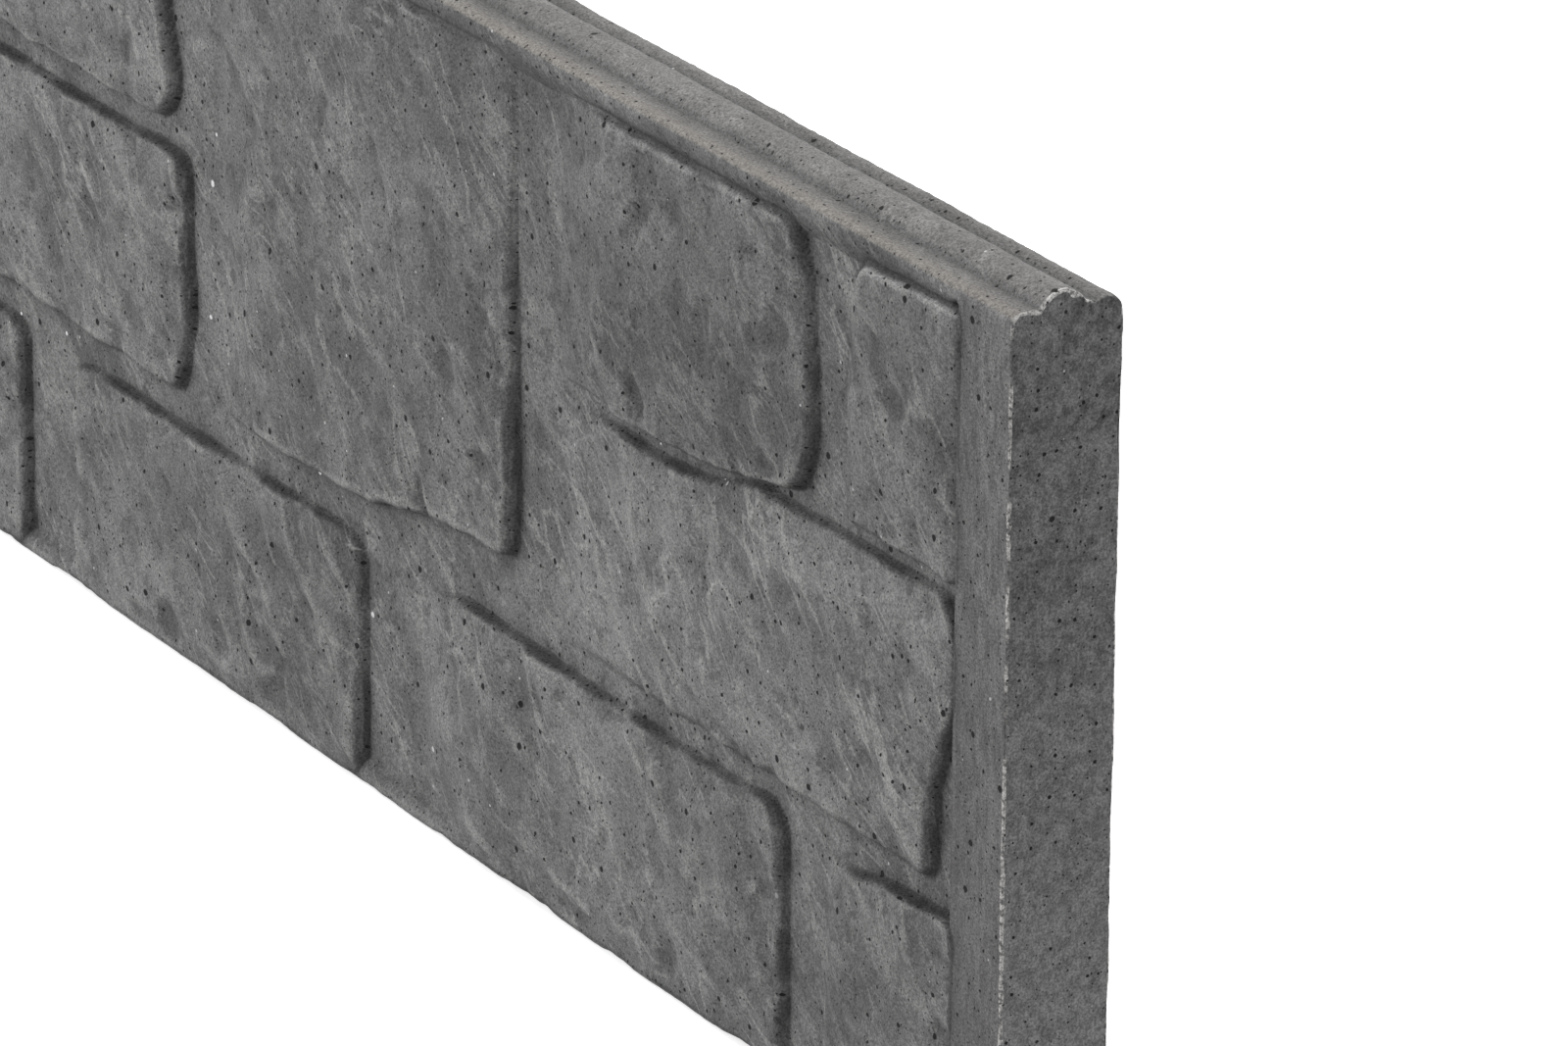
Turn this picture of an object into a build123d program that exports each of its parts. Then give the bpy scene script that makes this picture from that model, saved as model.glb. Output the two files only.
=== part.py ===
from build123d import *

import os

# Precast concrete fence panel. One long edge carries a tongue and the other a matching groove,
# the front shows rough-hewn stones standing on a sunk joint, and a welded steel mesh with
# clip-on plastic spacers is cast inside.
#
# Millimetres, +Z up. +X runs along the length, the stone face looks towards -Y and the plain
# cast back towards +Y. The origin is at the middle of the underside.

# Overall sizes
length = 1840.0
height = 360.0  # underside to shoulder, which is also the pitch of stacked panels
thickness = 48.0

# Tongue along the top edge and groove along the underside
shoulder_width = 11.8  # flat ledge in front of the tongue
tongue_width = 20.0
tongue_height = 6.0
groove_side_clearance = 1.5  # each side of the tongue of the panel below
groove_top_clearance = 2.0
valley_depth = 1.6  # shallow dip between the tongue and the back lip
lip_width = 1.0  # flat of the back lip, next to the rounded back edge

# Worn edges
front_edge_radius = 3.0
back_edge_radius = 6.5
foot_edge_radius = 2.0

# Sunk field of the stone face and the plain frame around it
margin_width = 35.0  # plain strip at each end, which stands in the slot of a post
rail_height = 3.0  # plain strip under the shoulder
bevel_height = 13.0  # slope from the rail down into the field
sill_height = 4.0  # plain strip above the underside
relief_depth = 5.5
stone_root = 1.0  # how far a stone's body reaches in behind the joint
stone_draft = 14.0  # degrees
stone_corner_radius = 7.0

# Steel mesh
bar_diameter = 6.0
bar_count = 4
bar_end_cover = 20.0
bar_edge_cover = 37.0
wire_diameter = 5.0
wire_count = 6
wire_end_cover = 60.0
wire_overhang = 12.0
weld_bite = 1.0  # how far a wire sinks into the bar it is welded to

# Clip-on spacers that hold the mesh off the mould
spacer_length = 8.0
spacer_wall = 2.6
spacer_mouth = 4.4
spacer_toe_width = 3.0
spacer_tip_cover = 0.6

# Positions that follow from the sizes
front = -thickness / 2
back = thickness / 2
joint_face = front + relief_depth
tongue_front = front + shoulder_width
tongue_back = tongue_front + tongue_width
tongue_middle = (tongue_front + tongue_back) / 2
lip_start = back - back_edge_radius - lip_width
field_length = length - 2 * margin_width

mesh_depth = bar_diameter + wire_diameter - weld_bite
bar_y = (joint_face + back - mesh_depth + bar_diameter) / 2
wire_y = bar_y + (bar_diameter + wire_diameter) / 2 - weld_bite
bar_length = length - 2 * bar_end_cover
bar_pitch = (height - 2 * bar_edge_cover) / (bar_count - 1)
bar_levels = [bar_edge_cover + i * bar_pitch for i in range(bar_count)]
wire_pitch = (length - 2 * wire_end_cover) / (wire_count - 1)
wire_places = [-length / 2 + wire_end_cover + i * wire_pitch for i in range(wire_count)]

# Outlines of the stones, drawn on a field of this size. The first number of a point runs from
# the right end of the panel to the left, the second from the underside upwards.
drawn_length = 1840.0
drawn_height = 360.0
stones = [
    # upper course
    [(36, 241), (36, 351), (102, 351), (116, 336), (122, 241)],
    [(137, 262), (144, 242), (216, 229), (328, 228), (330, 350), (152, 350), (141, 328)],
    [(358, 140), (420, 137), (480, 124), (604, 121), (601, 351), (360, 351)],
    [(634, 254), (646, 237), (900, 238), (896, 351), (652, 351), (643, 290)],
    [(916, 238), (1106, 234), (1112, 351), (910, 351)],
    [(1118, 140), (1190, 137), (1322, 142), (1328, 351), (1124, 351)],
    [(1338, 233), (1556, 236), (1560, 351), (1342, 351)],
    [(1572, 240), (1803, 237), (1803, 351), (1574, 351)],
    # middle course
    [(52, 119), (50, 160), (37, 190), (36, 222), (46, 236), (180, 235), (216, 224), (327, 221), (326, 119)],
    [(636, 119), (626, 150), (628, 226), (864, 225), (868, 119)],
    [(880, 120), (1106, 122), (1104, 222), (876, 225)],
    [(1338, 121), (1596, 118), (1592, 225), (1336, 221)],
    [(1608, 119), (1803, 121), (1803, 227), (1604, 228)],
    # lower course, whose stones run down into the sill
    [(36, 1), (36, 111), (80, 110), (112, 104), (132, 105), (133, 1)],
    [(155, 1), (155, 99), (163, 109), (240, 106), (400, 109), (436, 103), (438, 1)],
    [(481, 1), (482, 100), (500, 107), (720, 104), (738, 99), (740, 1)],
    [(777, 1), (777, 104), (996, 105), (1000, 1)],
    [(1012, 1), (1016, 109), (1222, 106), (1226, 1)],
    [(1240, 1), (1238, 104), (1490, 108), (1494, 1)],
    [(1506, 1), (1508, 106), (1652, 104), (1650, 1)],
    [(1664, 1), (1668, 106), (1803, 109), (1803, 1)],
]


def stone_points(outline):
    """Stone outline on the panel, stretched to the field that the panel leaves."""
    stretch = field_length / (drawn_length - 2 * margin_width)
    rise = height / drawn_height
    return [
        (length / 2 - margin_width - (along - margin_width) * stretch, up * rise)
        for along, up in outline
    ]


def tongue_arc(side_clearance, top_clearance, foot):
    """Rounded crown of the tongue, grown by the clearances, with its ends at the given level."""
    return ThreePointArc(
        (tongue_front - side_clearance, foot),
        (tongue_middle, foot + tongue_height + top_clearance),
        (tongue_back + side_clearance, foot),
    )


def make_bar(level):
    """Straight bar along the panel."""
    with BuildPart() as bar:
        with BuildSketch(Plane.YZ.offset(-bar_length / 2)):
            with Locations((bar_y, level)):
                Circle(bar_diameter / 2)
        extrude(amount=bar_length)
    return bar.part


def make_wire(place, bars):
    """Upright wire behind the bars, with a shallow saddle where it is welded to each one."""
    with BuildPart() as wire:
        with BuildSketch(Plane.XY.offset(bar_levels[0] - wire_overhang)):
            with Locations((place, wire_y)):
                Circle(wire_diameter / 2)
        extrude(amount=bar_levels[-1] - bar_levels[0] + 2 * wire_overhang)
        add(bars, mode=Mode.SUBTRACT)
    return wire.part


def make_spacer(place, level):
    """Clip that grips a bar, with a tapered leg that ends just behind the joint face."""
    grip_radius = bar_diameter / 2 + spacer_wall
    toe_y = joint_face + spacer_tip_cover
    with BuildPart() as spacer:
        with BuildSketch(Plane.YZ.offset(place - spacer_length / 2)):
            with Locations((bar_y, level)):
                Circle(grip_radius)
            with BuildLine():
                Polyline(
                    (toe_y, level - spacer_toe_width / 2),
                    (toe_y, level + spacer_toe_width / 2),
                    (bar_y, level + grip_radius),
                    (bar_y, level - grip_radius),
                    close=True,
                )
            make_face()
            with Locations((bar_y, level)):
                Circle(bar_diameter / 2, mode=Mode.SUBTRACT)
            with Locations((bar_y + grip_radius, level)):
                Rectangle(2 * grip_radius, spacer_mouth, mode=Mode.SUBTRACT)
        extrude(amount=spacer_length)
    return spacer.part


# Reinforcement, named by where each piece lies
pieces = {}
for number, level in enumerate(bar_levels, start=1):
    pieces[f"mesh_bar_{number}"] = make_bar(level)
bars = list(pieces.values())

for number, place in enumerate(wire_places, start=1):
    pieces[f"mesh_wire_{number}"] = make_wire(place, bars)

spacer_places = [-2 * wire_pitch, 0, 2 * wire_pitch]
for row, level in (("lower", bar_levels[0]), ("upper", bar_levels[-1])):
    for number, place in enumerate(spacer_places, start=1):
        pieces[f"spacer_{row}_{number}"] = make_spacer(place, level)

# Concrete body, cast around the reinforcement
with BuildPart() as concrete_panel:
    with BuildSketch(Plane.YZ.offset(-length / 2)):
        with BuildLine():
            tongue = tongue_arc(0, 0, height)
            Polyline(
                tongue @ 1,
                ((tongue_back + lip_start) / 2, height - valley_depth),
                (lip_start, height),
                (back, height),
                (back, 0),
                (front, 0),
                (front, height),
                tongue @ 0,
            )
        make_face()
        fillet(vertices().group_by(Axis.X)[0].sort_by(Axis.Y)[-1], front_edge_radius)
        fillet(vertices().group_by(Axis.X)[-1].sort_by(Axis.Y)[-1], back_edge_radius)
        fillet(vertices().group_by(Axis.Y)[0], foot_edge_radius)
        with BuildLine():
            groove = tongue_arc(groove_side_clearance, groove_top_clearance, 0)
            Line(groove @ 1, groove @ 0)
        make_face(mode=Mode.SUBTRACT)
    extrude(amount=length)

    # Sunk field of the stone face, with a slope under the rail and another above the sill
    with BuildSketch(Plane.YZ.offset(-field_length / 2)):
        with BuildLine():
            Polyline(
                (front, sill_height),
                (joint_face, sill_height + relief_depth / 2),
                (joint_face, height - rail_height - bevel_height),
                (front, height - rail_height),
                close=True,
            )
        make_face()
    extrude(amount=field_length, mode=Mode.SUBTRACT)

    # Stones, standing on the joint face and flush with the frame
    for outline in stones:
        stone_plane = Plane((0, joint_face + stone_root, 0), x_dir=(1, 0, 0), z_dir=(0, -1, 0))
        with BuildSketch(stone_plane) as stone:
            with BuildLine():
                Polyline(*stone_points(outline), close=True)
            make_face()
            fillet(stone.vertices(), stone_corner_radius)
        extrude(amount=stone_root + relief_depth, taper=stone_draft)

    add(list(pieces.values()), mode=Mode.SUBTRACT)

pieces["concrete_panel"] = concrete_panel.part

os.makedirs("parts", exist_ok=True)
for name, piece in pieces.items():
    piece.label = name
    export_step(piece, f"parts/{name}.step")
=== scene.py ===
import itertools
import math

import bpy
import numpy as np
from mathutils import Matrix, Vector


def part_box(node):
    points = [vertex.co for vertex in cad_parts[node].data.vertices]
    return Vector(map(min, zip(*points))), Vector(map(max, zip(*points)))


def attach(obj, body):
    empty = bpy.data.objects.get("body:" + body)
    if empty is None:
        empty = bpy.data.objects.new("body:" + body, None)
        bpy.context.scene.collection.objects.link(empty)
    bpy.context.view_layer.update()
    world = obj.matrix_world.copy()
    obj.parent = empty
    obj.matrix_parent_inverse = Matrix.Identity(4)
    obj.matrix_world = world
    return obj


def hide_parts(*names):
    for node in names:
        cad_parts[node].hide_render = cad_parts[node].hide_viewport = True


# Precast concrete fence panel with rough stones on its front, in the row frame: +X along the
# length, the stones towards -Y, +Z up. Shapes are worked out in millimetres and made in metres.

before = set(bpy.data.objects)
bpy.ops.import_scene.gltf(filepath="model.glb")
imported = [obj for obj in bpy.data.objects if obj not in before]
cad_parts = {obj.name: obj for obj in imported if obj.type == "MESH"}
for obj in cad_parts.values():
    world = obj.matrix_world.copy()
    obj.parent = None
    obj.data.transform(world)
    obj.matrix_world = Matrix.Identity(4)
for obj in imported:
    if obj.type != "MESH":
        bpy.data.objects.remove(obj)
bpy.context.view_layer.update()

MM = 0.001

# Sizes read from the frame
panel_low, panel_high = (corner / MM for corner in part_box("concrete_panel"))
half_length = panel_high.x
front = panel_low.y
back = panel_high.y
crown = panel_high.z

# Section of the panel
tongue_height = 6.0
shoulder = crown - tongue_height
shoulder_width = 11.8
tongue_width = 20.0
groove_clearance = 1.5
groove_height = 8.0
valley_depth = 1.6
lip_width = 1.0
shoulder_radius = 3.0
margin_shoulder_radius = 4.5
back_radius = 6.5
foot_radius = 2.0

# Frame around the stones
margin_width = 35.0
rail_height = 3.0
bevel_height = 13.0
sill_height = 4.0
sill_bevel = 6.0
margin_bevel = 1.3
field_corner = 6.0
joint_depth = 5.5

# Width of a stone's side wall, by the way that it faces
right_wall = 4.0
left_wall = 12.0
top_wall = 2.4
bottom_wall = 3.0
crest_wall = 4.5  # top of the upper course, which the light catches

# Face of a stone
stone_corner = 8.0
dome_height = 2.6  # from the edges to the middle
dome_reach = 12.0
face_drop = 1.2  # how far below the frame the face starts at its edges
facet_width = 38.0
facet_slope = 0.14
breaks = ((48, 130, 2.6), (22, 60, 2.0), (11, 30, 0.8), (5, 14, 0.25))  # (width, length, height)
hollow_depth = 1.6
crest_proud = 0.9  # how much further the upper course stands out
scallop_depth = 1.4
ramp_length = 55.0  # over which a stone rises from the joint at its left end
most_proud = 3.2  # a stone's highest point in front of the frame
edge_reach = 28.0  # over which the height of a right edge passes into that of the face

# Wear
foot_chip = 1.6  # most that is worn off the foot of the front
scraped_height = 480.0  # the upright corners are scraped less and less up to this level

# Painted shade next to the walls
foot_width = 1.1  # of the painted dark line of shade at the foot of a wall, on the joint side
foot_rise = 1.9  # how far that line goes up the wall
shade_width = 7.0  # of the faint painted shade that the joint has beside it
shade_strength = 0.42
ridge_floor = -1.6  # lower than this counts as joint, and does not make the stone's edge a ridge

# Mesh spacing
fine_step = 1.4
coarse_step = 3.5
groove_step = 0.6
fine_from = 80.0  # the finely spaced end runs from here to the right end
row_step = 1.5
# Bands of rows, from the foot up: (level where the band ends, share of the row step)
row_bands = ((96, 1.3), (115, 0.55), (219, 1.3), (245, 0.6), (340, 1.3), (360, 0.55))
back_share = 4  # rows of the front for each row of the back
end_steps = (0.0, 0.15, 0.4, 0.8, 1.4, 2.2, 3.2)  # distances of the last sections from the end

# Places that follow from the sizes
tongue_left = front + shoulder_width
tongue_right = tongue_left + tongue_width
lip_start = back - back_radius - lip_width
valley_middle = (tongue_right + lip_start) / 2

# Outlines of the stones, each with what sets it apart: its own right wall or ramp, the lean of its
# breaks in degrees, the share of its height that its right edge has, by level, its largest folds
# (from, to, height, width), how much paler it is, and whether it is in the upper course, whose top
# edge stands out. The first number of a point runs from the right end to the left, the second
# upwards.
stones = [
    # upper course
    (
        [(33, 241), (33, 351), (102, 351), (116, 336), (122, 241)],
        {
            "crest": True,
            "right": 1.5,
            "lean": -70,
            "ramp": 16,
            "tone": -0.04,
            "edge": ((241, 0.9), (351, 0.78)),
        },
    ),
    (
        [(137, 262), (144, 242), (216, 229), (328, 228), (330, 350), (152, 350), (141, 328)],
        {
            "crest": True,
            "right": 2.9,
            "lean": -84,
            "ramp": 62,
            "tone": -0.13,
            "edge": ((242, 1.0), (290, 0.75), (335, 0.55)),
            "folds": [
                ((325, 345), (322, 282), 1.3, 7),
                ((262, 332), (280, 270), 1.3, 7),
                ((236, 300), (226, 262), 1.0, 8),
                ((300, 268), (255, 240), -1.5, 6),
                ((168, 248), (164, 244), -2.6, 7),
            ],
        },
    ),
    (
        [(358, 140), (420, 137), (480, 124), (604, 121), (601, 351), (360, 351)],
        {
            "crest": True,
            "edge": ((140, 1.3), (190, 1.0), (260, 0.6), (335, 0.05)),
            "folds": [
                ((388, 339), (382, 332), -2.2, 6),
                ((465, 284), (452, 262), -1.8, 9),
                ((470, 236), (455, 212), -1.7, 9),
                ((412, 246), (404, 226), -1.5, 7),
                ((395, 223), (364, 219), -1.3, 3),
                ((475, 180), (440, 142), 1.7, 13),
                ((432, 141), (424, 139), -2.2, 6),
                ((540, 330), (498, 240), 1.2, 12),
            ],
        },
    ),
    ([(634, 254), (646, 237), (900, 238), (896, 351), (652, 351), (643, 290)], {"crest": True}),
    ([(916, 238), (1106, 234), (1112, 351), (910, 351)], {"crest": True}),
    ([(1118, 140), (1190, 137), (1322, 142), (1328, 351), (1124, 351)], {"crest": True}),
    ([(1338, 233), (1556, 236), (1560, 351), (1342, 351)], {"crest": True}),
    ([(1572, 240), (1803, 237), (1803, 351), (1574, 351)], {"crest": True}),
    # middle course
    (
        [
            (52, 119),
            (50, 160),
            (35, 190),
            (33, 222),
            (42, 236),
            (180, 235),
            (216, 224),
            (327, 221),
            (326, 119),
        ],
        {
            "lean": -48,
            "ramp": 100,
            "tone": 0.15,
            "folds": [
                ((222, 134), (188, 122), -1.3, 5),
                ((205, 205), (168, 140), 1.4, 12),
                ((268, 200), (236, 150), 1.0, 10),
                ((100, 215), (84, 170), 1.0, 9),
            ],
        },
    ),
    ([(636, 119), (626, 150), (628, 226), (864, 225), (868, 119)], {}),
    ([(880, 120), (1106, 122), (1104, 222), (876, 225)], {}),
    ([(1338, 121), (1596, 118), (1592, 225), (1336, 221)], {}),
    ([(1608, 119), (1803, 121), (1803, 227), (1604, 228)], {}),
    # lower course, whose stones run down into the sill
    (
        [(33, 1), (33, 108), (80, 107), (112, 102), (132, 103), (133, 1)],
        {"right": 1.5, "ramp": 30, "tone": -0.05, "edge": ((1, 0.85), (111, 0.85))},
    ),
    ([(155, 1), (155, 99), (163, 109), (240, 106), (400, 109), (436, 103), (438, 1)], {"tone": 0.1}),
    (
        [(481, 1), (482, 100), (500, 107), (720, 104), (738, 99), (740, 1)],
        {"right": 4.5, "ramp": 14, "edge": ((1, 1.3), (100, 1.1))},
    ),
    ([(777, 1), (777, 104), (996, 105), (1000, 1)], {}),
    ([(1012, 1), (1016, 109), (1222, 106), (1226, 1)], {}),
    ([(1240, 1), (1238, 104), (1490, 108), (1494, 1)], {}),
    ([(1506, 1), (1508, 106), (1652, 104), (1650, 1)], {}),
    ([(1664, 1), (1668, 106), (1803, 109), (1803, 1)], {}),
]


# ---------------------------------------------------------------- noise


def lattice_value(cells, seed, part):
    """Repeatable number from -1 to 1 for each cell."""
    mixed = cells[0] * 73856093 ^ cells[1] * 19349663 ^ cells[2] * 83492791
    mixed = (mixed ^ (seed * 2654435761 + part * 40503)) & 0xFFFFFFFF
    mixed = ((mixed ^ (mixed >> 15)) * 2246822519) & 0xFFFFFFFF
    mixed = ((mixed ^ (mixed >> 13)) * 3266489917) & 0xFFFFFFFF
    return ((mixed ^ (mixed >> 16)) & 0xFFFF) / 32767.5 - 1


def noise(x, y, z, size, seed):
    """Smooth gradient noise, mostly within -1 to 1, whose lumps are about size across."""
    places = [np.asarray(v, float) / size for v in np.broadcast_arrays(x, y, z)]
    floors = [np.floor(v).astype(np.int64) for v in places]
    parts = [v - f for v, f in zip(places, floors)]
    eased = [t * t * t * (t * (t * 6 - 15) + 10) for t in parts]
    total = np.zeros(places[0].shape)
    for corner in itertools.product((0, 1), repeat=3):
        cells = [f + c for f, c in zip(floors, corner)]
        slope = sum(lattice_value(cells, seed, k) * (parts[k] - corner[k]) for k in range(3))
        weight = np.ones(slope.shape)
        for e, c in zip(eased, corner):
            weight = weight * (e if c else 1 - e)
        total += weight * slope
    return 1.8 * total


def layered_noise(x, y, z, size, seed, layers=3):
    """Noise with finer, weaker layers on top."""
    return sum(
        noise(x, y, z, size / 2**k, seed + 17 * k) / 2**k for k in range(layers)
    )


def smooth_step(low, high, value):
    """0 up to low, 1 from high on, and a smooth rise between."""
    t = np.clip((value - low) / (high - low), 0, 1)
    return t * t * (3 - 2 * t)


# ---------------------------------------------------------------- relief of the front


def round_corners(outline, size):
    """Outline with each corner replaced by a short curve that starts at size from it."""
    points = [np.array(p, float) for p in outline]
    result = []
    for before, corner, after in zip(points[-1:] + points[:-1], points, points[1:] + points[:1]):
        reach = min(size, 0.45 * np.linalg.norm(before - corner), 0.45 * np.linalg.norm(after - corner))
        start = corner + reach * (before - corner) / np.linalg.norm(before - corner)
        end = corner + reach * (after - corner) / np.linalg.norm(after - corner)
        for t in (0, 0.25, 0.5, 0.75, 1):
            result.append((1 - t) ** 2 * start + 2 * t * (1 - t) * corner + t * t * end)
    return np.array(result)


def signed_distance(x, z, outline):
    """Distance inside the outline (negative outside) and the outward direction of the nearest edge."""
    nearest = np.full(x.shape, np.inf)
    away_x = np.zeros(x.shape)
    away_z = np.zeros(x.shape)
    inside = np.zeros(x.shape, bool)
    for (x1, z1), (x2, z2) in zip(outline, np.roll(outline, -1, axis=0)):
        dx, dz = x2 - x1, z2 - z1
        t = np.clip(((x - x1) * dx + (z - z1) * dz) / (dx * dx + dz * dz), 0, 1)
        to_x, to_z = x1 + t * dx - x, z1 + t * dz - z
        gap = np.hypot(to_x, to_z)
        closer = gap < nearest
        nearest = np.where(closer, gap, nearest)
        away_x = np.where(closer, to_x, away_x)
        away_z = np.where(closer, to_z, away_z)
        crosses = (z1 > z) != (z2 > z)
        if dz:
            inside ^= crosses & (x < x1 + (z - z1) * dx / dz)
    side = np.where(inside, 1, -1)
    length = np.maximum(nearest, 1e-6)
    return side * nearest, side * away_x / length, side * away_z / length


def wall_width(away_x, away_z, right, left, top, bottom):
    """Width of a side wall that faces this way."""
    return (
        right * np.maximum(away_x, 0) ** 2
        + left * np.maximum(-away_x, 0) ** 2
        + top * np.maximum(away_z, 0) ** 2
        + bottom * np.maximum(-away_z, 0) ** 2
    )


def wall_rise(distance, width, away_x):
    """Rise of a side wall from 0 to 1: a crisp foot and a rounded top, but soft on the left side."""
    t = np.clip(distance / width, 0, 1)
    soft = np.maximum(-away_x, 0) ** 2
    return (1 - soft) * (1 - (1 - t) ** 2.4) + soft * smooth_step(0, 1, t)


def stone_face(x, z, distance, outline, number, options):
    """Hewn face of a stone, in millimetres in front of the frame."""
    rng = np.random.default_rng(100 + number)
    low, high = outline.min(0), outline.max(0)
    face = dome_height * (1 - np.exp(-np.maximum(distance, 0) / dome_reach)) - face_drop

    facets = np.full(x.shape, np.inf)
    for _ in range(4 + int((high[0] - low[0]) / facet_width)):
        middle = rng.uniform(low, high)
        slope = rng.normal(0, facet_slope, 2)
        plane = rng.uniform(0.2, 2.2) + slope[0] * (x - middle[0]) + slope[1] * (z - middle[1])
        facets = np.minimum(facets, plane)
    facets = np.maximum(facets, -3.0)
    face += facets - facets.mean()

    # Breaks run down to the right, in broad and in narrow ridges
    lean = math.radians(options.get("lean", rng.uniform(-64, -42)))
    along = x * math.cos(lean) + z * math.sin(lean)
    across = -x * math.sin(lean) + z * math.cos(lean)
    across = across + 9 * noise(x, 0, z, 40, 300 + number)
    for width, reach, height in breaks:
        ridges = (1 - np.abs(noise(across / width, along / reach, 0, 1, 400 + number + width))) ** 3
        where = smooth_step(-0.4, 0.3, noise(x, 0, z, 2.5 * width, 500 + number + width))
        face += height * (ridges - 0.35) * where

    for start, end, height, width in options.get("folds", ()):
        x1, z1 = half_length - start[0], start[1]
        dx, dz = half_length - end[0] - x1, end[1] - z1
        t = np.clip(((x - x1) * dx + (z - z1) * dz) / (dx**2 + dz**2), 0, 1)
        off = np.hypot(x - x1 - t * dx, z - z1 - t * dz)
        off = np.maximum(off + 0.35 * width * noise(x, 0, z, 1.5 * width, 580), 0)
        face += height * np.maximum(1 - off / width, 0) ** 1.3

    face -= hollow_depth * smooth_step(0.3, 0.8, noise(x, 0, z, 24, 550 + number))
    face += 1.1 * layered_noise(x, 0, z, 28, 600 + number, 5)

    if options.get("crest"):
        # The top edge stands out, with scallops broken away below it
        scallop = scallop_depth * smooth_step(-0.2, 0.4, noise(x, 0, 0, 16, 650 + number))
        below = distance - crest_wall - 2.0 * noise(x, 0, 0, 11, 660 + number)
        scallop = scallop * smooth_step(0, 2.5, below) * np.exp(-np.maximum(below, 0) / 14)
        face += crest_proud - scallop
    return face


def stone_shape(points):
    """Rounded outline of a stone in the row frame."""
    placed = [(half_length - along, up) for along, up in points]
    return round_corners(placed, stone_corner)


def front_relief(x, z):
    """Height of the front in millimetres, 0 at the frame and below it in the joints, with how much painted
    shade each point has from lying at the foot of a wall or beside it, from 0 to 1, and how much paler it
    is."""
    bend_x = 1.1 * layered_noise(x, 0, z, 30, 11)
    bend_z = 1.1 * layered_noise(x, 0, z, 30, 12)

    # Frame: rail, sill and end strips around the sunk field
    half_field = half_length - margin_width
    field = round_corners(
        [
            (-half_field, sill_height),
            (half_field, sill_height),
            (half_field, shoulder - rail_height),
            (-half_field, shoulder - rail_height),
        ],
        field_corner,
    )
    wander = 0.35 * layered_noise(x, 0, z, 25, 21) + 0.35 * noise(x, 0, z, 4.5, 24)
    distance, away_x, away_z = signed_distance(x, z + wander, field)
    width = wall_width(away_x, away_z, margin_bevel, margin_bevel, bevel_height, sill_bevel)
    floor = -joint_depth + 0.35 * noise(x, 0, z, 26, 31)
    slope = np.clip(distance / width, 0, 1)
    height = floor * slope**1.7
    # Painted shade: a thin dark line where the sunk field meets the end strips
    foot = 0.6 * np.exp(-((distance / 0.9) ** 2)) * (np.abs(away_x) > 0.7)

    # Stones
    tone = np.zeros(x.shape)
    for number, (points, options) in enumerate(stones):
        outline = stone_shape(points)
        low, high = outline.min(0) - 12, outline.max(0) + 12
        near = (x > low[0]) & (x < high[0]) & (z > low[1]) & (z < high[1])
        px, pz = x[near], z[near]
        distance, away_x, away_z = signed_distance(px + bend_x[near], pz + bend_z[near], outline)
        width = wall_width(
            away_x,
            away_z,
            options.get("right", right_wall),
            left_wall,
            crest_wall if options.get("crest") else top_wall,
            bottom_wall,
        )
        width = width * (1 + 0.3 * noise(px, 0, pz, 15, 700 + number))
        face = stone_face(px, pz, distance, outline, number, options)

        # Share of its height that the stone has here: it rises from its left end, its right edge
        # follows the profile of its own, and near its edges it is uneven
        uneven = 12 * noise(px, 0, pz, 40, 750 + number)
        from_left = px - outline.min(0)[0] + uneven
        share = 0.1 + 0.9 * smooth_step(-8, options.get("ramp", ramp_length), from_left)
        levels, shares = zip(*options.get("edge", ((0, 1.0), (shoulder, 1.0))))
        at_edge = np.interp(pz + uneven, levels, shares)
        from_right = np.maximum(outline.max(0)[0] - px, 0)
        share = share * (1 + (at_edge - 1) * np.exp(-from_right / edge_reach))
        lumps = 0.25 * noise(px, 0, pz, 34, 770 + number)
        share = share * (1 + lumps * np.exp(-np.abs(distance) / 18))

        stand = (face - floor[near]) * share
        stone = floor[near] + stand * wall_rise(distance, width, away_x)
        above = np.maximum(stone, 0)
        stone = np.minimum(stone, 0) + most_proud * np.tanh(above / most_proud)
        if low[1] < 0:  # a stone of the lower course flattens into the sill
            stone = stone * smooth_step(sill_height - 3, sill_height + 9, pz)
        inside = distance > 0
        height[near] = np.where(inside, np.maximum(height[near], stone), height[near])

        # Painted shade at the foot of the stone's wall and on the joint beside it
        line = foot_width if options.get("crest") else foot_rise
        off = np.where(inside, distance / line, -distance / foot_width)
        beside = shade_strength * np.exp(-((distance / shade_width) ** 2)) * (distance < 0)
        shade = np.maximum(np.exp(-(off**2)), beside)
        foot[near] = np.maximum(foot[near], shade * np.clip(stand / joint_depth, 0, 1))
        paler = options.get("tone", 0.06 * math.sin(5 * number))
        tone[near] += paler * smooth_step(0, 14, distance)
    return height, foot, tone


# ---------------------------------------------------------------- surface of the panel


def arc(centre, radius, start, end, steps):
    """Points of an arc across the section, angles in degrees, without the first point."""
    angles = np.radians(np.linspace(start, end, steps + 1)[1:])
    return [(centre[0] + radius * math.cos(a), centre[1] + radius * math.sin(a)) for a in angles]


def run(start, end, steps):
    """Evenly spaced points of a straight run, without the first point."""
    return [tuple(np.array(start) + (np.array(end) - start) * k / steps) for k in range(1, steps + 1)]


def crown_arc(left, right, base, height, steps):
    """Points of the arc that stands height above its two ends, without the first point."""
    half = (right - left) / 2
    radius = (half**2 + height**2) / (2 * height)
    reach = math.degrees(math.asin(half / radius))
    middle = ((left + right) / 2, base + height - radius)
    return arc(middle, radius, 90 + reach, 90 - reach, steps)


def row_levels():
    """Levels of the rows of the front, closer together where the courses of stones begin."""
    levels = [foot_radius]
    for end, share in row_bands:
        count = round((end - levels[-1]) / (share * row_step))
        levels += [levels[-1] + (end - levels[-1]) * (k + 1) / count for k in range(count)]
    spare = (len(levels) - 1) % back_share  # drop rows from the wide first band
    return np.delete(levels, [5 * (k + 1) for k in range(spare)])


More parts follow.
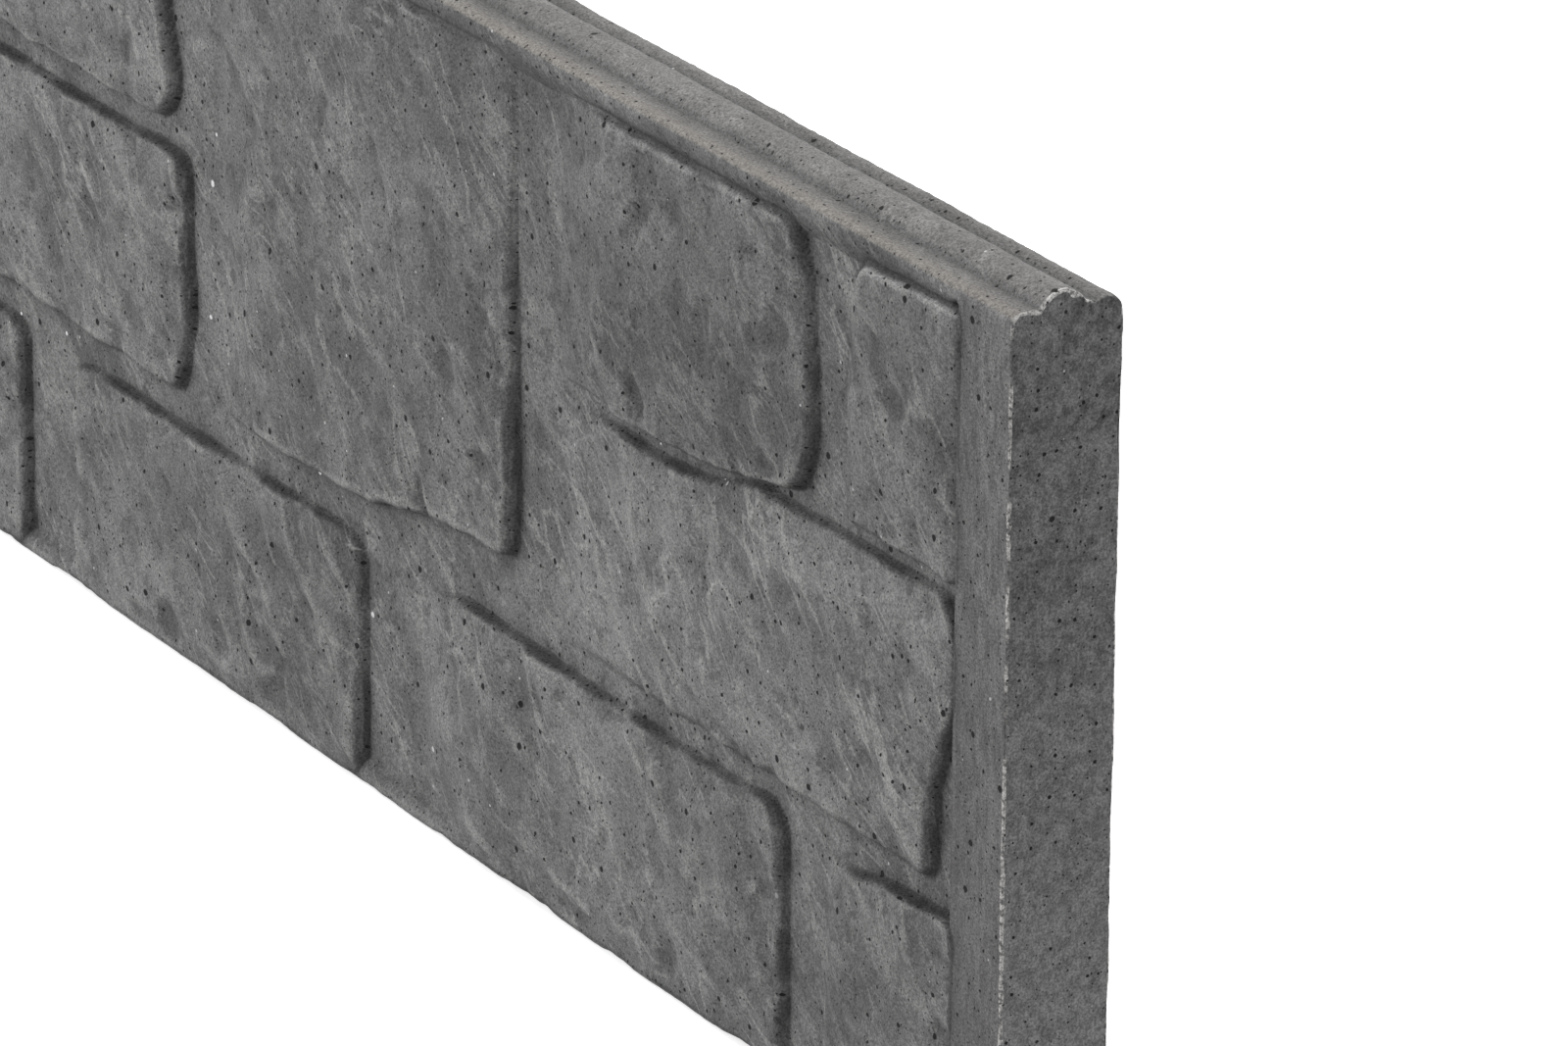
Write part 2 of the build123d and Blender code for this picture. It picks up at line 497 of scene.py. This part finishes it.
row_places = row_levels()
row_places = (row_places - row_places[0]) / (row_places[-1] - row_places[0])
row_count = len(row_places) - 1
back_count = row_count // back_share


def section(radius):
    """Closed section of the panel as four sides, each without its first point."""
    rise = shoulder - radius - foot_radius
    front_side = [(front, foot_radius + rise * place) for place in row_places[1:]]
    top_side = (
        arc((front + radius, shoulder - radius), radius, 180, 90, 6)
        + run((front + radius, shoulder), (tongue_left, shoulder), 8)
        + crown_arc(tongue_left, tongue_right, shoulder, tongue_height, 18)
        + run((tongue_right, shoulder), (valley_middle, shoulder - valley_depth), 4)
        + run((valley_middle, shoulder - valley_depth), (lip_start, shoulder), 4)
        + run((lip_start, shoulder), (lip_start + lip_width, shoulder), 1)
        + arc((back - back_radius, shoulder - back_radius), back_radius, 90, 0, 8)
    )
    back_side = run((back, shoulder - back_radius), (back, foot_radius), back_count)
    groove_left = tongue_left - groove_clearance
    groove_right = tongue_right + groove_clearance
    under_side = (
        arc((back - foot_radius, foot_radius), foot_radius, 0, -90, 4)
        + run((back - foot_radius, 0), (groove_right, 0), 11)
        + crown_arc(groove_left, groove_right, 0, groove_height, 22)[-2::-1]
        + [(groove_left, 0)]
        + run((groove_left, 0), (front + foot_radius, 0), 8)
        + arc((front + foot_radius, foot_radius), foot_radius, 270, 180, 4)
    )
    assert len(top_side) == len(under_side)
    return [np.array(side) for side in (front_side, top_side, back_side, under_side)]


def stations():
    """Places along the length where the section stands, from the left end to the right."""
    near_end = half_length - np.array(end_steps)
    strip = half_length - margin_width
    stops = (1 - near_end[-1], fine_from, strip - 4, strip + 3, near_end[-1] - 1)
    places = [stops[0]]
    for end, step in zip(stops[1:], (coarse_step, fine_step, groove_step, fine_step)):
        places += list(np.linspace(places[-1], end, round((end - places[-1]) / step) + 1)[1:])
    return np.concatenate([-near_end, places, near_end[::-1]])


def panel_surface():
    """Points of the surface, as an array of stations by points of the section, and shading values."""
    places = stations()
    strip = half_length - margin_width
    soft = smooth_step(strip - 12, strip + 4, np.abs(places))
    tight = np.vstack(section(shoulder_radius))
    round_section = np.vstack(section(margin_shoulder_radius))
    loop = tight + soft[:, None, None] * (round_section - tight)
    loop = np.roll(loop, 1, axis=1)  # starts at the foot of the front

    ahead = np.roll(loop, -1, axis=1) - np.roll(loop, 1, axis=1)
    ahead /= np.maximum(np.linalg.norm(ahead, axis=2, keepdims=True), 1e-9)
    outward = np.stack([-ahead[..., 1], ahead[..., 0]], axis=2)

    x = np.repeat(places[:, None], loop.shape[1], axis=1)
    y, z = loop[..., 0], loop[..., 1]
    from_end = half_length - np.abs(x)
    on_front = np.zeros(x.shape, bool)
    on_front[:, : row_count + 1] = True

    relief, foot, tone = (np.zeros(x.shape) for _ in range(3))
    relief[on_front], foot[on_front], tone[on_front] = front_relief(x[on_front], z[on_front])

    # Uneven cast surface, more so along the upright back edges and near the top
    relief += 0.30 * layered_noise(x, y, z, 45, 41)
    relief += 0.10 * noise(x, y, z, 5, 42)
    at_back_corner = np.exp(-np.hypot(y - back, from_end) / 9)
    relief += 0.5 * layered_noise(x, y, z, 16, 44) * at_back_corner
    rough = smooth_step(shoulder - 14, shoulder - 3, z)
    relief += 0.22 * rough * noise(x, y, z, 3.2, 43)

    # Worn ends: the last few sections draw in round a small uneven radius
    wear = 0.9 + 0.7 * layered_noise(0, y, z, 14, 51)
    wear += 1.8 * smooth_step(0.55, 0.95, noise(np.sign(x) * 9, y, z, 9, 52))
    wear = np.clip(wear, 0.3, 3.0)
    worn_in = wear - np.sqrt(np.maximum(wear**2 - (wear - from_end) ** 2, 0))
    drawn_in = np.where(from_end < wear, worn_in, 0)

    # Worn foot of the front
    chip = smooth_step(0.0, 0.9, layered_noise(x, 0, 0, 55, 53, 4))
    low_edge = np.exp(-np.hypot(y - front, z) / 4.0)
    relief -= foot_chip * chip * low_edge

    moved = loop + outward * (relief - drawn_in)[..., None]
    points = np.stack([x, moved[..., 0], moved[..., 1]], axis=2)

    at_end = 1 - smooth_step(0, 2.0, from_end)
    scraped = noise(np.sign(x) * 7, y, z, 14, 54) - z / scraped_height
    on_shoulder = (z > shoulder - 2) & (y < tongue_left)
    # Corners of the top edge, where painted shade darkens the colour
    corners = ((tongue_left, shoulder), (valley_middle, shoulder - valley_depth))
    # Values for the colour: foot, the corners and the low parts of ridge and swell carry painted shade
    values = {
        "foot": foot,
        "tone": tone,
        "joint": np.clip(-relief / joint_depth, 0, 1) * on_front,
        "worn": at_end * smooth_step(-1.1, 0.0, scraped),
        "ridge": above_average(places, np.maximum(relief, ridge_floor), 3),
        "swell": above_average(places, np.maximum(relief, ridge_floor), 11),
        "dust": (1 - smooth_step(front, tongue_left - 1, y)) * on_shoulder,
        "corner_shade": sum(np.exp(-np.hypot(y - cy, z - cz) / 3.0) for cy, cz in corners),
    }
    return points, values


def above_average(places, relief, reach):
    """Height of each point of the front above the average within reach rows and steps of it."""
    rows = row_count + 1
    even = np.arange(places[0], places[-1], fine_step)
    grid = np.array([np.interp(even, places, relief[:, r]) for r in range(rows)])
    total = np.pad(grid, reach + 1, mode="edge")[:-1, :-1].cumsum(0).cumsum(1)
    span = 2 * reach + 1
    total = total[span:, span:] - total[:-span, span:] - total[span:, :-span] + total[:-span, :-span]
    above = grid - total / span**2
    result = np.zeros(relief.shape)
    for r in range(rows):
        result[:, r] = np.interp(places, even, above[r])
    return result


def cap(points, station, first_vertex):
    """Vertices and faces that close the section at one end."""
    loop = points[station]
    count = len(loop)
    across = (count - row_count - back_count) // 2
    back_row = row_count + across + back_count * (1 - row_places)
    lower = np.floor(back_row).astype(int)
    upper = np.minimum(lower + 1, row_count + across + back_count)
    share = (back_row - lower)[:, None]
    front_edge = loop[: row_count + 1]
    back_edge = loop[lower % count] * (1 - share) + loop[upper % count] * share
    top_edge = loop[row_count : row_count + across + 1]
    under_edge = loop[-np.arange(across + 1)]

    u = (np.arange(across + 1) / across)[:, None, None]
    v = row_places[None, :, None]
    patch = (1 - v) * under_edge[:, None] + v * top_edge[:, None]
    patch = patch + (1 - u) * front_edge[None] + u * back_edge[None]
    patch -= (1 - u) * (1 - v) * front_edge[0] + (1 - u) * v * front_edge[-1]
    patch -= u * (1 - v) * back_edge[0] + u * v * back_edge[-1]

    inner = patch[1:-1, 1:-1]
    sign = np.sign(inner[0, 0, 0])
    from_edge = np.minimum(
        np.minimum(np.arange(1, across), across - np.arange(1, across))[:, None],
        np.minimum(np.arange(1, row_count), row_count - np.arange(1, row_count))[None],
    )
    y, z = inner[..., 1], inner[..., 2]
    bumps = 0.30 * layered_noise(70 * sign, y, z, 16, 61, 4) - 0.1
    inner[..., 0] += sign * bumps * np.clip(from_edge / 3, 0, 1)

    ids = np.zeros((across + 1, row_count + 1), int)
    ids[1:-1, 1:-1] = first_vertex + np.arange(inner.shape[0] * inner.shape[1]).reshape(inner.shape[:2])
    start = station % len(points) * count
    ids[0] = start + np.arange(row_count + 1)
    ids[:, -1] = start + row_count + np.arange(across + 1)
    ids[:, 0] = start + (-np.arange(across + 1)) % count

    faces = []
    for i in range(across - 1):
        for j in range(row_count):
            faces.append([ids[i, j], ids[i + 1, j], ids[i + 1, j + 1], ids[i, j + 1]])
    back_ids = start + np.arange(row_count + across + back_count, row_count + across - 1, -1)
    for k in range(back_count):
        rows = range(k * back_share, (k + 1) * back_share + 1)
        comb = [ids[-2, j] for j in rows]
        faces.append(comb[::-1] + [back_ids[k], back_ids[k + 1]])
    if sign < 0:
        faces = [face[::-1] for face in faces]
    return inner.reshape(-1, 3), faces


def make_panel():
    """The panel as one closed mesh, with the shading values as attributes."""
    points, values = panel_surface()
    length_count, loop_count = points.shape[:2]
    i, j = np.meshgrid(np.arange(length_count - 1), np.arange(loop_count), indexing="ij")
    after = (j + 1) % loop_count
    here, beyond = i * loop_count, (i + 1) * loop_count
    quads = np.stack([here + j, beyond + j, beyond + after, here + after], axis=-1).reshape(-1, 4)
    tube = points.reshape(-1, 3)
    left, left_faces = cap(points, 0, len(tube))
    right, right_faces = cap(points, length_count - 1, len(tube) + len(left))
    vertices = np.vstack([tube, left, right]) * MM

    mesh = bpy.data.meshes.new("rock_face_panel")
    mesh.from_pydata(vertices.tolist(), [], quads.tolist() + left_faces + right_faces)
    mesh.shade_smooth()
    for name, value in values.items():
        attribute = mesh.attributes.new(name, "FLOAT", "POINT")
        padded = np.zeros(len(vertices), np.float32)
        padded[: len(tube)] = value.reshape(-1)
        attribute.data.foreach_set("value", padded)
    mesh.validate()
    panel = bpy.data.objects.new("rock_face_panel", mesh)
    bpy.context.scene.collection.objects.link(panel)
    return panel


# ---------------------------------------------------------------- materials


class Surface:
    """A material under construction."""

    def __init__(self, name, roughness, specular=0.5, metallic=0.0):
        self.material = bpy.data.materials.new(name)
        self.material.use_nodes = True
        self.nodes = self.material.node_tree.nodes
        self.links = self.material.node_tree.links
        self.shader = self.nodes["Principled BSDF"]
        self.shader.inputs["Roughness"].default_value = roughness
        self.shader.inputs["Specular IOR Level"].default_value = specular
        self.shader.inputs["Metallic"].default_value = metallic
        self.place = self.nodes.new("ShaderNodeTexCoord").outputs["Object"]
        normal = self.nodes.new("ShaderNodeNewGeometry").outputs["Normal"]
        self.facing = self.split(normal)

    def put(self, socket, value):
        """Link a socket or set its value."""
        if isinstance(value, bpy.types.NodeSocket):
            self.links.new(value, socket)
        else:
            socket.default_value = value

    def split(self, vector):
        node = self.nodes.new("ShaderNodeSeparateXYZ")
        self.links.new(vector, node.inputs[0])
        return node.outputs

    def flat_place(self):
        """Place on the surface as a flat map: (x, z) on the faces, (y, z) on the ends, (x, y) on top."""
        x, y, z = self.split(self.place)
        is_end = self.maths("GREATER_THAN", self.maths("ABSOLUTE", self.facing[0]), 0.8)
        is_level = self.maths("GREATER_THAN", self.maths("ABSOLUTE", self.facing[2]), 0.75)
        join = self.nodes.new("ShaderNodeCombineXYZ")
        self.put(join.inputs[0], self.choose(is_end, x, y))
        self.put(join.inputs[1], self.choose(is_level, z, y))
        return join.outputs[0]

    def choose(self, share, first, second):
        """Number that is first where share is 0 and second where it is 1."""
        node = self.nodes.new("ShaderNodeMix")
        for socket, value in zip(node.inputs[:1] + node.inputs[2:4], (share, first, second)):
            self.put(socket, value)
        return node.outputs[0]

    def maths(self, operation, first, second=0.0, third=0.0):
        node = self.nodes.new("ShaderNodeMath")
        node.operation = operation
        for socket, value in zip(node.inputs, (first, second, third)):
            self.put(socket, value)
        return node.outputs[0]

    def ramp(self, value, low, high, to_low=0.0, to_high=1.0):
        """Smooth passage from to_low to to_high as the value goes from low to high."""
        node = self.nodes.new("ShaderNodeMapRange")
        node.interpolation_type = "SMOOTHSTEP"
        limits = {"From Min": low, "From Max": high, "To Min": to_low, "To Max": to_high}
        for name, number in limits.items():
            self.put(node.inputs[name], number)
        self.put(node.inputs["Value"], value)
        return node.outputs["Result"]

    def stretched(self, scale, turn=(0, 0, 0)):
        """Place turned back by the turn and then divided by the scale, which draws a pattern out."""
        node = self.nodes.new("ShaderNodeMapping")
        node.vector_type = "TEXTURE"
        node.inputs["Scale"].default_value = scale
        node.inputs["Rotation"].default_value = [math.radians(a) for a in turn]
        self.links.new(self.place, node.inputs["Vector"])
        return node.outputs[0]

    def noise(self, size, detail=4.0, rough=0.55, distortion=0.0, place=None):
        """Noise from 0 to 1 with lumps about size metres across."""
        node = self.nodes.new("ShaderNodeTexNoise")
        node.inputs["Scale"].default_value = 1 / size
        node.inputs["Detail"].default_value = detail
        node.inputs["Roughness"].default_value = rough
        node.inputs["Distortion"].default_value = distortion
        self.links.new(place or self.place, node.inputs["Vector"])
        return node.outputs["Fac"]

    def dots(self, spacing, radius, share, place):
        """Round spots from 0 to 1, up to radius in size, in the given share of the cells of a flat map."""
        node = self.nodes.new("ShaderNodeTexVoronoi")
        node.voronoi_dimensions = "2D"
        node.inputs["Scale"].default_value = 1 / spacing
        self.links.new(place, node.inputs["Vector"])
        split = self.nodes.new("ShaderNodeSeparateColor")
        self.links.new(node.outputs["Color"], split.inputs[0])
        present = self.ramp(split.outputs[0], 1 - share, 1 - share + 0.01)
        size = self.ramp(split.outputs[1], 0, 1, 0.35 * radius / spacing, radius / spacing)
        edge = self.maths("DIVIDE", node.outputs["Distance"], size)
        return self.maths("MULTIPLY", self.ramp(edge, 0.7, 1.1, 1, 0), present)

    def veins(self, place, size, width, strength):
        """Soft lines where a noise passes its middle value, here and there."""
        line = self.maths("ABSOLUTE", self.maths("SUBTRACT", self.noise(size, 3, 0.5, 0.5, place), 0.5))
        where = self.ramp(self.noise(2.2 * size, 2, 0.5), 0.42, 0.64)
        return self.maths("MULTIPLY", self.ramp(line, 0.0, width, strength, 0), where)

    def attribute(self, name):
        node = self.nodes.new("ShaderNodeAttribute")
        node.attribute_name = name
        return node.outputs["Fac"]

    def mix(self, share, first, second):
        """Colour that is first where share is 0 and second where it is 1."""
        node = self.nodes.new("ShaderNodeMix")
        node.data_type = "RGBA"
        for number, value in ((0, share), (6, first), (7, second)):
            self.put(node.inputs[number], value)
        return node.outputs[2]

    def vector_maths(self, operation):
        node = self.nodes.new("ShaderNodeVectorMath")
        node.operation = operation
        return node

    def colour(self, value):
        self.put(self.shader.inputs["Base Color"], value)

    def bump(self, height, distance):
        node = self.nodes.new("ShaderNodeBump")
        node.inputs["Strength"].default_value = 1.0
        node.inputs["Distance"].default_value = distance
        self.links.new(height, node.inputs["Height"])
        self.links.new(node.outputs[0], self.shader.inputs["Normal"])


def grey(level, warmth=0.0):
    """Grey of this brightness, shifted from blue towards red by the warmth."""
    return (level * (1 + warmth), level, level * (1 - 1.3 * warmth), 1.0)


def concrete_material():
    """Cast anthracite concrete with lime bloom, air holes and sand grain, and painted shade in its
    corners, creases and holes.
    """
    s = Surface("anthracite_concrete", 0.9, 0.25)
    haze = grey(0.27, 0.01)
    bloom = grey(0.33, 0.01)
    strip_dark = (0.128, 0.124, 0.125, 1)
    strip_pale = (0.225, 0.221, 0.220, 1)
    strip_shade = (0.110, 0.105, 0.107, 1)

    facing_up = s.ramp(s.facing[2], 0.35, 0.9)
    facing_end = s.ramp(s.maths("ABSOLUTE", s.facing[0]), 0.8, 0.97)
    along, _, level = s.split(s.place)
    swell = s.attribute("swell")
    ridge = s.attribute("ridge")
    grain = s.noise(0.0010, 2, 0.7)
    sand = s.noise(0.0026, 3, 0.65)

    clouds = s.noise(0.075, 5, 0.6, 0.6)
    patches = s.noise(0.016, 5, 0.62, 0.4)
    base = s.mix(s.ramp(clouds, 0.34, 0.66), grey(0.125), grey(0.200))
    base = s.mix(s.ramp(patches, 0.48, 0.68, 0, 0.62), base, grey(0.092))

    # Lime bloom on the stones: a cloudy film, and thin pale veins that run down to the right
    on_front = s.ramp(s.facing[1], -0.2, 0.6, 1, 0.2)
    film = s.noise(0.030, 7, 0.66, 0.6, s.stretched((1.0, 1.0, 2.2), (0, -42, 0)))
    film = s.maths("MULTIPLY", s.ramp(film, 0.47, 0.68, 0, 0.52), on_front)
    base = s.mix(film, base, haze)
    leaning = s.stretched((1.0, 1.0, 3.6), (0, -38, 0))
    steeper = s.stretched((1.0, 1.0, 4.2), (0, -60, 0))
    for place, size, width, strength in (
        (leaning, 0.024, 0.026, 0.62),
        (steeper, 0.017, 0.030, 0.50),
        (leaning, 0.008, 0.045, 0.32),
    ):
        veins = s.maths("MULTIPLY", s.veins(place, size, width, strength), on_front)
        base = s.mix(veins, base, bloom)
    smudges = s.ramp(s.noise(0.0085, 4, 0.6, 0.3), 0.54, 0.68, 0, 0.55)
    base = s.mix(smudges, base, grey(0.085))

    # Pale on ridges, and painted shade that darkens the creases
    base = s.mix(s.ramp(swell, 0.2, 2.0, 0, 0.30), base, haze)
    # Painted shade in the creases
    base = s.mix(s.ramp(swell, -1.6, -0.2, 0.45, 0), base, grey(0.09))
    base = s.mix(s.ramp(ridge, 0.12, 0.8, 0, 0.45), base, bloom)
    base = s.mix(s.ramp(ridge, -0.8, -0.1, 0.40, 0), base, grey(0.080))

    # End strips: smooth, streaked down the mould, darker next to the stones and near the foot
    from_middle = s.maths("ABSOLUTE", along)
    strip = (half_length - margin_width) * MM
    streaks = s.noise(0.0036, 6, 0.74, 0.2, s.stretched((1.0, 1.0, 4.0)))
    smooth = s.mix(s.ramp(streaks, 0.40, 0.60), strip_dark, strip_pale)
    smooth = s.mix(s.ramp(from_middle, strip + 0.008, strip + 0.020, 0.35, 0), smooth, strip_shade)
    smooth = s.mix(s.ramp(level, 0.02, 0.30, 0.45, 0), smooth, strip_shade)
    on_strip = s.ramp(from_middle, strip - 0.001, strip + 0.001, 0, 0.78)
    base = s.mix(s.maths("MULTIPLY", on_strip, on_front), base, smooth)

    # Warm dust on the top edge, palest along the front of the shoulder
    on_top = s.ramp(level, (shoulder - 8) * MM, (shoulder - 3) * MM, 0, 0.5)
    base = s.mix(s.maths("MULTIPLY", facing_up, on_top), base, grey(0.178, 0.035))
    base = s.mix(s.ramp(s.attribute("dust"), 0, 1, 0, 0.7), base, grey(0.220, 0.065))

    # Painted shade: in the corners of the top edge, at the foot of the walls and on what faces down
    base = s.mix(s.ramp(s.attribute("corner_shade"), 0.05, 1.0, 0, 0.66), base, grey(0.085))
    # Painted shade at the foot of the walls
    base = s.mix(s.ramp(s.attribute("foot"), 0.05, 1.0, 0, 0.72), base, grey(0.035))
    # Painted shade on what faces down
    base = s.mix(s.ramp(s.facing[2], -0.6, -0.1, 0.5, 0), base, grey(0.075))

    # Ends: finely mottled and paler towards the foot, with a scraped corner
    broad = s.mix(s.ramp(s.noise(0.030, 5, 0.6, 0.6), 0.38, 0.62), grey(0.104), grey(0.214))
    broad = s.mix(s.ramp(level, 0.02, 0.36, 1.0, 0), broad, grey(0.31))
    speckle = s.mix(s.ramp(s.noise(0.0045, 5, 0.75), 0.38, 0.62), grey(0.075), grey(0.285))
    base = s.mix(facing_end, base, s.mix(0.5, broad, speckle))
    crumbs = s.ramp(s.noise(0.0024, 3, 0.7), 0.40, 0.54)
    scraped = s.maths("MULTIPLY", s.ramp(s.attribute("worn"), 0.08, 0.5), crumbs)
    base = s.mix(scraped, base, grey(0.60, 0.02))

    # Fine grain everywhere, and each stone a little paler or darker than the next
    by_stone = s.maths("ADD", s.attribute("tone"), 1.0)
    scaled = s.vector_maths("SCALE")
    s.put(scaled.inputs[0], base)
    s.put(scaled.inputs["Scale"], s.maths("MULTIPLY", s.ramp(grain, 0.25, 0.75, 0.58, 1.42), by_stone))
    base = scaled.outputs[0]

    # Air holes, painted near black as the shade inside them, and white grains, on a map that is warped a
    # little so that they aren't round
    flat = s.flat_place()
    wobble = s.nodes.new("ShaderNodeTexNoise")
    wobble.inputs["Scale"].default_value = 400
    s.put(wobble.inputs["Vector"], flat)
    warp = s.vector_maths("MULTIPLY_ADD")
    s.put(warp.inputs[0], wobble.outputs["Color"])
    warp.inputs[1].default_value = (0.0012, 0.0009, 0)
    s.put(warp.inputs[2], flat)
    flat = warp.outputs[0]
    holes = s.maths("MAXIMUM", s.dots(0.0085, 0.00080, 0.46, flat), s.dots(0.0036, 0.00044, 0.34, flat))
    large = s.maths("MULTIPLY", s.dots(0.022, 0.0015, 0.34, flat), s.ramp(on_front, 0.2, 1.0, 0.2, 1))
    holes = s.maths("MAXIMUM", holes, large)
    # Painted shade inside the air holes
    base = s.mix(holes, base, grey(0.020))
    grains = s.maths("MULTIPLY", s.dots(0.019, 0.0007, 0.10, flat), 0.6)
    in_joint = s.maths("MULTIPLY", s.dots(0.045, 0.0016, 0.25, flat), s.attribute("joint"))
    base = s.mix(s.maths("MAXIMUM", grains, in_joint), base, grey(0.78))
    s.colour(base)

    height = s.maths("MULTIPLY_ADD", sand, 0.55, s.maths("MULTIPLY", grain, 0.22))
    height = s.maths("MULTIPLY_ADD", s.noise(0.007, 5, 0.68), 2.2, height)
    height = s.maths("MULTIPLY_ADD", holes, -1.2, height)
    s.bump(height, 0.0008)
    return s.material


def steel_material():
    """Drawn reinforcing steel with a film of rust."""
    s = Surface("drawn_steel", 0.45, 0.5, 0.9)
    rust = s.ramp(s.noise(0.012, 5, 0.65), 0.42, 0.66)
    drawn = s.noise(0.002, 3, 0.6, 0.0, s.stretched((25.0, 1.0, 25.0)))
    bright = s.mix(drawn, (0.30, 0.30, 0.31, 1), (0.48, 0.47, 0.46, 1))
    s.colour(s.mix(rust, bright, (0.20, 0.075, 0.03, 1)))
    s.put(s.shader.inputs["Roughness"], s.ramp(rust, 0, 1, 0.38, 0.85))
    s.bump(s.noise(0.0012, 4, 0.6), 0.0002)
    return s.material


def plastic_material():
    """Moulded grey spacer plastic."""
    s = Surface("spacer_plastic", 0.5, 0.5)
    s.colour(s.mix(s.noise(0.004, 3, 0.5), (0.11, 0.11, 0.12, 1), (0.15, 0.15, 0.16, 1)))
    s.bump(s.noise(0.0006, 2, 0.5), 0.00008)
    return s.material


def floor_material():
    """White studio floor, lit a little from within so that it stays white in the picture."""
    s = Surface("studio_floor", 0.9, 0.1)
    s.colour(s.mix(s.noise(0.5, 2, 0.5), grey(0.93), grey(0.95)))
    s.shader.inputs["Emission Color"].default_value = (1, 1, 1, 1)
    s.shader.inputs["Emission Strength"].default_value = 0.6
    return s.material


# ---------------------------------------------------------------- studio


def add_camera():
    """Long lens, aimed from the upper right at the front top corner of the right end."""
    corner = Vector((half_length, front, shoulder)) * MM
    azimuth, elevation, roll = (math.radians(a) for a in (58.08, 21.86, 0.46))
    distance = 3.431
    corner_right, corner_up = 0.0815, 0.0739  # of the middle of the picture, at the corner's distance
    to_camera = Vector(
        (
            math.sin(azimuth) * math.cos(elevation),
            -math.cos(azimuth) * math.cos(elevation),
            math.sin(elevation),
        )
    )
    level_right = Vector((math.cos(azimuth), math.sin(azimuth), 0))
    level_up = to_camera.cross(level_right)
    right = math.cos(roll) * level_right + math.sin(roll) * level_up
    up = math.cos(roll) * level_up - math.sin(roll) * level_right

    data = bpy.data.cameras.new("camera")
    data.sensor_width = 36.0
    data.lens = 220.5
    data.clip_end = 50.0
    camera = bpy.data.objects.new("camera", data)
    bpy.context.scene.collection.objects.link(camera)
    place = corner - corner_right * right - corner_up * up + distance * to_camera
    turned = Matrix((right, up, to_camera)).transposed().to_4x4()
    camera.matrix_world = Matrix.Translation(place) @ turned
    bpy.context.scene.camera = camera


def add_floor():
    """Wide floor that gives the object no light of its own."""
    bpy.ops.mesh.primitive_plane_add(size=60, location=(0, 0, 0))
    floor = bpy.context.object
    floor.name = "studio_floor"
    floor.data.materials.append(floor_material())
    floor.visible_diffuse = False
    floor.visible_glossy = False


def add_light(name, place, target, size, power):
    """White rectangular area light that points at the target."""
    data = bpy.data.lights.new(name, "AREA")
    data.shape = "RECTANGLE"
    data.size, data.size_y = size
    data.energy = power
    light = bpy.data.objects.new(name, data)
    bpy.context.scene.collection.objects.link(light)
    light.location = place
    light.rotation_euler = (Vector(target) - Vector(place)).to_track_quat("-Z", "Y").to_euler()


def add_world(up_level, side_level, down_level):
    """Even studio light with these strengths from above, from the sides and from below."""
    world = bpy.data.worlds.new("studio")
    bpy.context.scene.world = world
    world.use_nodes = True
    nodes, links = world.node_tree.nodes, world.node_tree.links
    background = nodes["Background"]
    split = nodes.new("ShaderNodeSeparateXYZ")
    links.new(nodes.new("ShaderNodeTexCoord").outputs["Generated"], split.inputs[0])
    height = nodes.new("ShaderNodeMapRange")
    height.inputs["From Min"].default_value = -1
    height.inputs["From Max"].default_value = 1
    links.new(split.outputs[2], height.inputs["Value"])
    ramp = nodes.new("ShaderNodeValToRGB")
    links.new(height.outputs["Result"], ramp.inputs[0])
    ramp.color_ramp.elements[0].color = (down_level,) * 3 + (1,)
    ramp.color_ramp.elements[1].color = (up_level,) * 3 + (1,)
    middle = ramp.color_ramp.elements.new(0.5)
    middle.color = (side_level,) * 3 + (1,)
    links.new(ramp.outputs[0], background.inputs[0])
    background.inputs[1].default_value = 1.0


def add_studio():
    """Floor, light and the view transform."""
    add_floor()
    add_world(up_level=0.50, side_level=0.58, down_level=0.45)
    for name, place, target, size, power in (
        ("overhead", (-0.1, 0.06, 2.3), (-0.1, -0.02, 0.3), (3.2, 0.5), 42),
        ("front_fill", (-1.6, -2.6, 0.5), (0.4, 0.0, 0.2), (1.6, 1.0), 58),
        ("back_fill", (-1.2, 2.6, 0.9), (0.0, 0.0, 0.2), (2.0, 1.2), 50),
    ):
        add_light(name, place, target, size, power)
    bpy.context.scene.view_settings.view_transform = "Standard"


# ---------------------------------------------------------------- the object

add_camera()
add_studio()

concrete = concrete_material()
steel = steel_material()
plastic = plastic_material()

panel = make_panel()
panel.data.materials.append(concrete)
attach(panel, "root")
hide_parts("concrete_panel")

for name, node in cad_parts.items():
    if name != "concrete_panel":
        node.data.materials.clear()
        node.data.materials.append(steel if name.startswith("mesh_") else plastic)
